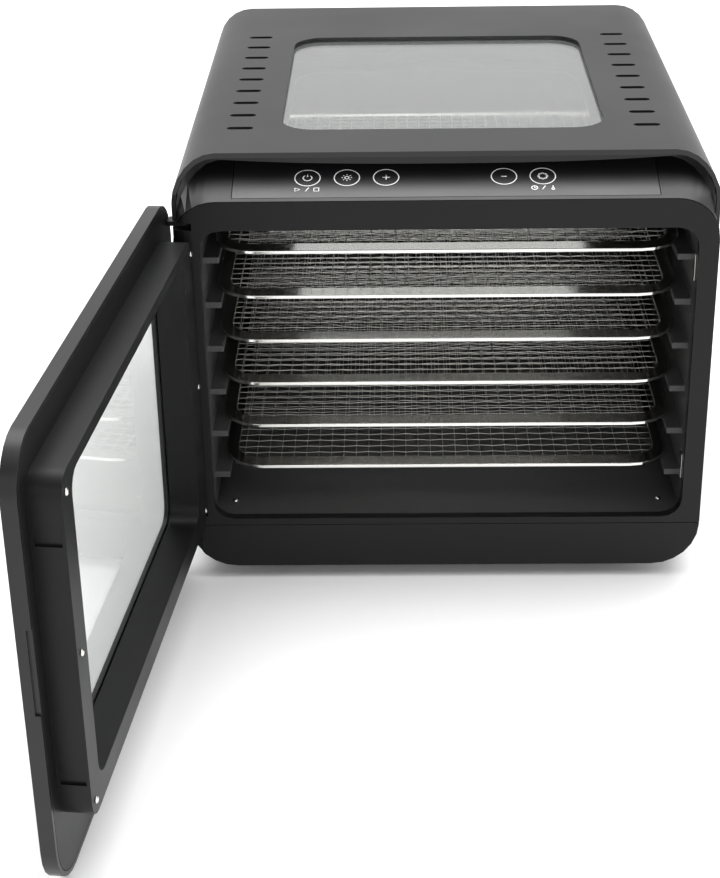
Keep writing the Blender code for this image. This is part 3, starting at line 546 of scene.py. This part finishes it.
# ---------------------------------------------------------------- trays
@dataclass
class WireTray:
    """One drying tray: a pressed rim with a crimped square mesh inside it."""

    level: int
    finishes: Finishes
    pitch_mm: float = 7.7
    wire_mm: float = 0.46
    crimp_mm: float = 0.27
    corner_mm: float = 13.7
    tuck_mm: float = 0.4
    drift_share: float = 0.3
    steps: int = 2

    def build(self, frame: dict) -> None:
        """Builds the rim and the mesh on the tray's own body."""
        body = f"tray_{self.level}"
        Skin(f"{body}_rim", self.finishes.rim, body, Slot.STEEL, 0.5, 3).build(frame)
        mesh = self.weave()
        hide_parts(f"{body}_mesh")
        wear(mesh, self.finishes.wire, body)

    def reach(self, offset: float, half_across: float, half_along: float) -> float:
        """Half the length of a wire that lies offset from the middle, inside the rounded hole.

        Args:
            offset: The wire's distance from the tray's middle line.
            half_across: Half the hole, across the wires.
            half_along: Half the hole, along the wires.

        Returns:
            The wire's half length.
        """
        radius = self.corner_mm * MM
        into_corner = abs(offset) - (half_across - radius)
        if into_corner <= 0:
            return half_along
        return half_along - radius + math.sqrt(max(0.0, radius**2 - into_corner**2))

    def weave(self) -> bpy.types.Object:
        """Makes both sets of crimped wires as one mesh."""
        low, high = (Vector(corner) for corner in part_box(f"tray_{self.level}_mesh"))
        middle = (low + high) / 2
        half_x, half_y = (high.x - low.x) / 2, (high.y - low.y) / 2
        pitch = self.pitch_mm * MM
        shares = (-self.drift_share, self.drift_share)
        drift = random.Random(self.level).uniform(*shares) * pitch
        curve = bpy.data.curves.new(f"tray_{self.level}_weave", "CURVE")
        curve.dimensions = "3D"
        curve.bevel_depth = self.wire_mm * MM / 2
        curve.bevel_resolution = 1
        curve.use_fill_caps = True
        sets = ((half_x, half_y, 0), (half_y, half_x, 1))
        for half_across, half_along, turned in sets:
            count = int(half_across / pitch)
            for index in range(-count, count + 1):
                offset = index * pitch + drift
                if abs(offset) > half_across - self.wire_mm * MM:
                    continue
                length = self.reach(offset, half_across, half_along) + self.tuck_mm * MM
                points = self.crimped(index + turned, length, pitch, drift)
                if turned:
                    places = [(middle.x + t, middle.y + offset, middle.z - h) for t, h in points]
                else:
                    places = [(middle.x + offset, middle.y + t, middle.z + h) for t, h in points]
                add_spline(curve, places)
        obj = curve_mesh(f"tray_{self.level}_weave", curve)
        select_only(obj)
        bpy.ops.object.shade_smooth()
        return obj

    def crimped(self, index: int, length: float, pitch: float, drift: float) -> list:
        """Points of one wire as distance along it and height, up over one wire and down the next.

        Args:
            index: The wire's number, which sets whether it starts over or under.
            length: Its half length.
            pitch: The distance between wires.
            drift: How far the crossings are shifted.

        Returns:
            Pairs of distance and height.
        """
        step = pitch / self.steps
        first = math.ceil((-length - drift) / step)
        last = math.floor((length - drift) / step)
        height = self.crimp_mm * MM
        points = [(-length, 0.0)]
        for i in range(first, last + 1):
            wave = math.cos(math.pi * (i / self.steps + index))
            points.append((i * step + drift, height * wave))
        points.append((length, 0.0))
        return points


# ---------------------------------------------------------------- control panel
@dataclass
class TouchPanel:
    """The sloping strip: its glass and the marks printed on it; the visor over it is built by
    Visor.
    """

    finishes: Finishes
    ring_mm: float = 14.4
    line_mm: float = 0.68
    lift_mm: float = 0.06
    ring_places_mm: tuple = (-78.2, -55.8, -33.5, 33.4, 55.4)
    ring_up_mm: float = 1.45
    label_up_mm: float = -9.05

    def build(self, frame: dict) -> None:
        """Builds the panel's pieces."""
        Skin("control_glass", self.finishes.panel, "casing", Slot.PANEL_GLASS, 0.25).build(frame)
        self.find_face(frame)
        drawings = (self.power, self.sun, self.plus, self.minus, self.gear)
        for draw, place in zip(drawings, self.ring_places_mm):
            name = f"mark_{draw.__name__}"
            self.print_mark(name, place, self.ring_up_mm, draw(), self.ring_mm / 2)
        first, last = self.ring_places_mm[0], self.ring_places_mm[-1]
        self.print_mark("label_start_stop", first, self.label_up_mm, self.start_stop())
        self.print_mark("label_time_heat", last, self.label_up_mm, self.time_heat())

    def find_face(self, frame: dict) -> None:
        """Finds the sloping face of the glass: its middle, and the way up it."""
        mesh = frame["nodes"]["control_glass"].data
        best = max(mesh.polygons, key=lambda f: (f.normal.z > 0.2) * (f.normal.y < 0) * f.area)
        faces = [f for f in mesh.polygons if f.normal.dot(best.normal) > 0.99]
        corners = [mesh.vertices[i].co for f in faces for i in f.vertices]
        low = Vector([min(c[k] for c in corners) for k in range(3)])
        high = Vector([max(c[k] for c in corners) for k in range(3)])
        across = Vector((1, 0, 0))
        normal = best.normal.copy()
        upward = normal.cross(across).normalized()
        centre = (low + high) / 2
        self.face = Matrix.Identity(4)
        for column, axis in enumerate((across, upward, normal)):
            self.face.col[column][:3] = axis
        self.face.translation = centre + normal * self.lift_mm * MM

    def print_mark(
        self, name: str, across_mm: float, up_mm: float, strokes: list, ring_mm: float = 0.0
    ) -> None:
        """Prints one mark on the glass as a thin raised line drawing.

        Args:
            name: The piece's name.
            across_mm: Its place across the panel.
            up_mm: Its place up the slope.
            strokes: Lists of points in millimetres, each with whether it closes.
            ring_mm: The radius of a ring round it, or 0.
        """
        if ring_mm:
            strokes = [*strokes, (self.circle(ring_mm, 40), True)]
        curve = bpy.data.curves.new(name, "CURVE")
        curve.dimensions = "3D"
        curve.bevel_depth = self.line_mm * MM / 2
        curve.bevel_resolution = 0
        curve.use_fill_caps = True
        for points, closed in strokes:
            places = [((across_mm + x) * MM, (up_mm + y) * MM, 0.0) for x, y in points]
            add_spline(curve, places, closed)
        obj = curve_mesh(name, curve)
        obj.matrix_world = self.face @ Matrix.Diagonal((1, 1, 0.15, 1))
        settle(obj)
        wear(obj, self.finishes.ink, "casing")

    @staticmethod
    def circle(radius: float, count: int, start: float = 0.0, turn: float = 360.0) -> list:
        """Points along a circle or an arc, in degrees, the last left out of a full circle."""
        whole = turn >= 360.0
        steps = count if whole else count - 1
        angles = [math.radians(start + turn * i / steps) for i in range(count)]
        return [(radius * math.cos(a), radius * math.sin(a)) for a in angles]

    def power(self) -> list:
        """A broken circle with a stroke at its top."""
        return [(self.circle(2.5, 20, 125, 290), False), ([(0, 0.9), (0, 3.2)], False)]

    def sun(self) -> list:
        """A small circle with eight rays."""
        rays = []
        for i in range(8):
            a = math.radians(45 * i)
            c, s = math.cos(a), math.sin(a)
            rays.append(([(2.2 * c, 2.2 * s), (3.0 * c, 3.0 * s)], False))
        return [(self.circle(1.2, 16), True), *rays]

    def plus(self) -> list:
        """A cross."""
        return [([(-2.1, 0), (2.1, 0)], False), ([(0, -2.1), (0, 2.1)], False)]

    def minus(self) -> list:
        """A bar."""
        return [([(-1.6, 0), (1.6, 0)], False)]

    def gear(self) -> list:
        """A toothed wheel."""
        points = []
        for i in range(8):
            for offset, radius in ((-16, 2.1), (-9, 2.8), (9, 2.8), (16, 2.1)):
                a = math.radians(45 * i + offset)
                points.append((radius * math.cos(a), radius * math.sin(a)))
        return [(points, True)]

    def start_stop(self) -> list:
        """A triangle, a slash and a square."""
        return [
            ([(-6.8, -1.5), (-6.8, 1.5), (-4.0, 0)], True),
            ([(-1.0, -1.7), (1.0, 1.7)], False),
            ([(3.9, -1.4), (6.7, -1.4), (6.7, 1.4), (3.9, 1.4)], True),
        ]

    def time_heat(self) -> list:
        """A clock face, a slash and a thermometer."""
        clock = [(x - 5.2, y) for x, y in self.circle(1.65, 18)]
        bulb = [(x + 5.2, y - 1.0) for x, y in self.circle(0.75, 12)]
        return [
            (clock, True),
            ([(-5.2, 1.0), (-5.2, 0), (-4.4, 0)], False),
            ([(-1.0, -1.7), (1.0, 1.7)], False),
            (bulb, True),
            ([(5.2, -0.2), (5.2, 1.8)], False),
        ]


@dataclass
class Visor:
    """The arched lip under the shell's front edge, deepest in the middle."""

    finishes: Finishes
    depth_mm: float = 4.8
    end_mm: float = 1.2
    wall_mm: float = 2.5
    thick_mm: float = 1.8
    setback_mm: float = 22.2
    half_mm: float = 131.0
    gap_mm: float = 0.05
    steps: int = 24
    flatness: float = 2.6

    def build(self) -> None:
        """Builds the lip as a flat arch given a thickness."""
        low, high = (Vector(corner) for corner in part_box("outer_shell"))
        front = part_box("front_frame")[0][1]
        middle = (low.x + high.x) / 2
        top = high.z - (self.wall_mm + self.gap_mm) * MM
        half = self.half_mm * MM
        arch = []
        for i in range(self.steps + 1):
            t = -1 + 2 * i / self.steps
            bulge = 1 - abs(t) ** self.flatness
            drop = self.end_mm + (self.depth_mm - self.end_mm) * bulge
            arch.append((middle + t * half, top - drop * MM))
        outline = [(middle + half, top), (middle - half, top), *arch]
        curve = bpy.data.curves.new("visor", "CURVE")
        curve.dimensions = "2D"
        curve.fill_mode = "BOTH"
        curve.extrude = self.thick_mm * MM / 2
        add_spline(curve, [(x, z, 0.0) for x, z in outline], True)
        obj = curve_mesh("visor", curve)
        upright = Matrix.Rotation(math.pi / 2, 4, "X")
        place = Vector((0, front + (self.setback_mm + self.thick_mm / 2) * MM, 0))
        obj.matrix_world = Matrix.Translation(place) @ upright
        settle(obj)
        soften(obj, 0.5)
        wear(obj, self.finishes.shell, "casing")


# ---------------------------------------------------------------- casing, chamber and door
@dataclass
class Casing:
    """The outer covers, the front frame, the window and the feet."""

    finishes: Finishes

    def build(self, frame: dict) -> None:
        """Builds the casing's pieces."""
        f = self.finishes
        skins = [
            Skin("outer_shell", f.shell, "casing", Slot.SHELL_PAINT, 0.7),
            Skin("base_pan", f.abs, "casing", Slot.BLACK_PLASTIC, 0.7),
            Skin("back_panel", f.abs, "casing", Slot.BLACK_PLASTIC, 0.4),
            Skin("front_frame", f.abs, "casing", Slot.BLACK_PLASTIC, 0.9, 3),
            Skin("control_fascia", f.fascia, "casing", Slot.BLACK_PLASTIC, 0.4),
            Skin("power_inlet", f.abs, "casing", Slot.BLACK_PLASTIC, 0.4),
            Skin("top_window_glass", f.window, "casing", Slot.GLASS, 0.5),
            Skin("window_retainer", f.liner, "casing", Slot.DARK_LINER, 0.5),
        ]
        feet = [n for n in frame["nodes"] if n.startswith("foot_")]
        skins += [Skin(n, f.rubber, "casing", Slot.RUBBER, 0.5) for n in feet]
        for skin in skins:
            skin.build(frame)
        dress(frame, f.board, "control_board", "power_board")
        dress(frame, f.panel, "display_module")


@dataclass
class Chamber:
    """The racks, linings and fittings of the drying space, and the air system behind it."""

    finishes: Finishes

    def build(self, frame: dict) -> None:
        """Builds the chamber's pieces."""
        f = self.finishes
        liners = ("left_rack", "right_rack", "chamber_floor", "chamber_ceiling", "rear_baffle")
        for node in liners:
            Skin(node, f.liner, "casing", Slot.DARK_LINER, 0.5).build(frame)
        metal = (
            "floor_screw_left", "floor_screw_right", "door_catch_upper", "door_catch_lower",
            "rear_bulkhead", "fan_motor", "thermostat",
        )
        for node in metal:
            Skin(node, f.rim, "casing", Slot.STEEL, 0.15).build(frame)
        dress(frame, f.rim, "heater_element")
        for level in ("upper", "lower"):
            Skin(f"hinge_bracket_{level}", f.shell, "casing", Slot.SHELL_PAINT, 0.3).build(frame)
        Skin("interior_lamp", f.lamp, "casing", Slot.LAMP, 0.4).build(frame)
        Skin("fan_impeller", f.liner, "fan", Slot.DARK_LINER, 0.3).build(frame)
        Skin("fan_shaft", f.rim, "fan", Slot.STEEL, 0.3).build(frame)


@dataclass
class Door:
    """The door's cover, inner frame, pane, hinge arms and screws."""

    finishes: Finishes

    def build(self, frame: dict) -> None:
        """Builds the door's pieces on its own body."""
        f = self.finishes
        Skin("door_cover", f.cover, "door", Slot.BLACK_PLASTIC, 0.9, 3).build(frame)
        Skin("door_inner_frame", f.abs, "door", Slot.BLACK_PLASTIC, 0.8, 3).build(frame)
        Skin("door_glass", f.glass, "door", Slot.GLASS, 0.3).build(frame)
        for level in ("upper", "lower"):
            Skin(f"hinge_arm_{level}", f.shell, "door", Slot.SHELL_PAINT, 0.3).build(frame)
        for node in [n for n in frame["nodes"] if n.startswith("door_screw_")]:
            Skin(node, f.rim, "door", Slot.STEEL, 0.2).build(frame)


# ---------------------------------------------------------------- studio
@dataclass(frozen=True)
class Softbox:
    """A rectangular area light aimed at a point."""

    name: str
    place: tuple
    aim: tuple
    width: float
    height: float
    watts: float

    def build(self) -> None:
        """Adds the light."""
        data = bpy.data.lights.new(self.name, "AREA")
        data.shape = "RECTANGLE"
        data.size = self.width
        data.size_y = self.height
        data.energy = self.watts
        obj = bpy.data.objects.new(self.name, data)
        obj.location = self.place
        direction = Vector(self.aim) - Vector(self.place)
        obj.rotation_euler = direction.to_track_quat("-Z", "Y").to_euler()
        bpy.context.scene.collection.objects.link(obj)


@dataclass
class Studio:
    """A white floor, soft lights and the camera."""

    floor_size: float = 12.0
    floor_place: tuple = (0, 2.0, -0.0005)
    floor_colour: str = "#f8f8f8"
    front_colour: str = "#5c5c5c"
    back_colour: str = "#ffffff"
    world_strength: float = 1.0
    sky_watts: float = 1.6
    sky_spread: float = 80.0
    camera_place: tuple = (-0.0271, -0.9553, 0.6116)
    yaw: float = -0.018
    pitch: float = 0.446
    roll: float = -0.015
    lens_mm: float = 74.58
    shift: tuple = (-0.0103, -0.101)
    boxes: tuple = (
        Softbox("key_above", (0.1, 0.5, 2.0), (0, 0.15, 0.2), 2.4, 1.6, 45.0),
        Softbox("fill_right", (2.0, -0.3, 1.2), (0, 0, 0.15), 1.2, 1.6, 14.0),
        Softbox("front_fill", (-0.1, -1.9, 1.0), (0, 0.1, 0.12), 1.4, 0.8, 8.0),
    )

    def build(self) -> None:
        """Builds the studio round the casing."""
        self.build_floor()
        self.build_world()
        for box in self.boxes:
            box.build()
        self.build_sky()
        self.build_camera()

    def build_sky(self) -> None:
        """Adds wide soft daylight from straight above, which keeps the far floor pale."""
        data = bpy.data.lights.new("overhead_daylight", "SUN")
        data.energy = self.sky_watts
        data.angle = math.radians(self.sky_spread)
        obj = bpy.data.objects.new("overhead_daylight", data)
        bpy.context.scene.collection.objects.link(obj)

    def build_floor(self) -> None:
        """Adds the floor, sized well past the picture's edges."""
        bpy.ops.mesh.primitive_plane_add(size=self.floor_size, location=self.floor_place)
        floor = bpy.context.object
        floor.name = "studio_floor"
        paper = Plain("studio_paper", self.floor_colour, self.floor_colour, 0.9, 4.0, 0.1)
        floor.data.materials.append(paper.build())

    def build_world(self) -> None:
        """Sets a pale surround with a darker patch high in front, shown without a film curve."""
        world = bpy.data.worlds.new("studio_surround")
        world.use_nodes = True
        shade = world.node_tree.nodes["Background"]
        way = add_node(world, "ShaderNodeTexCoord").outputs["Generated"]
        parts = add_node(world, "ShaderNodeSeparateXYZ", links={0: way})
        rise = add_node(
            world, "ShaderNodeMapRange", {"From Min": -0.1, "From Max": 0.75},
            {"Value": parts.outputs["Y"]}, interpolation_type="SMOOTHSTEP",
        )
        horizon = add_node(
            world, "ShaderNodeMapRange",
            {"From Min": 0.12, "From Max": 0.5, "To Min": 1.0, "To Max": 0.0},
            {"Value": parts.outputs["Z"]}, interpolation_type="SMOOTHSTEP",
        )
        pale = add_node(
            world, "ShaderNodeMath", links={0: rise.outputs[0], 1: horizon.outputs[0]},
            operation="MAXIMUM",
        )
        tone = add_node(
            world, "ShaderNodeMix", {6: srgb(self.front_colour), 7: srgb(self.back_colour)},
            {0: pale.outputs[0]}, data_type="RGBA",
        )
        world.node_tree.links.new(tone.outputs[2], shade.inputs["Color"])
        shade.inputs["Strength"].default_value = self.world_strength
        bpy.context.scene.world = world
        bpy.context.scene.view_settings.view_transform = "Standard"

    def build_camera(self) -> None:
        """Adds the camera, placed from the middle of the front frame's face."""
        low, high = (Vector(corner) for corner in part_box("outer_shell"))
        middle = Vector(((low.x + high.x) / 2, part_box("front_frame")[0][1], 0))
        forward = Vector((
            math.sin(self.yaw) * math.cos(self.pitch),
            math.cos(self.yaw) * math.cos(self.pitch),
            -math.sin(self.pitch),
        ))
        level = Vector((math.cos(self.yaw), -math.sin(self.yaw), 0))
        upright = level.cross(forward)
        right = level * math.cos(self.roll) + upright * math.sin(self.roll)
        above = upright * math.cos(self.roll) - level * math.sin(self.roll)
        matrix = Matrix.Identity(4)
        for column, axis in enumerate((right, above, -forward)):
            matrix.col[column][:3] = axis
        matrix.translation = middle + Vector(self.camera_place)
        data = bpy.data.cameras.new("camera")
        data.lens = self.lens_mm
        data.shift_x, data.shift_y = self.shift
        camera = bpy.data.objects.new("camera", data)
        camera.matrix_world = matrix
        bpy.context.scene.collection.objects.link(camera)
        bpy.context.scene.camera = camera


def main() -> None:
    """Builds every sub-assembly round the frame, then the studio."""
    logging.basicConfig(level=logging.INFO, format="%(name)s: %(message)s")
    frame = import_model()
    finishes = Finishes()
    Casing(finishes).build(frame)
    Chamber(finishes).build(frame)
    TouchPanel(finishes).build(frame)
    Visor(finishes).build()
    for level in range(1, TRAYS + 1):
        WireTray(level, finishes).build(frame)
    Door(finishes).build(frame)
    Studio().build()


if __name__ == "__main__":
    main()
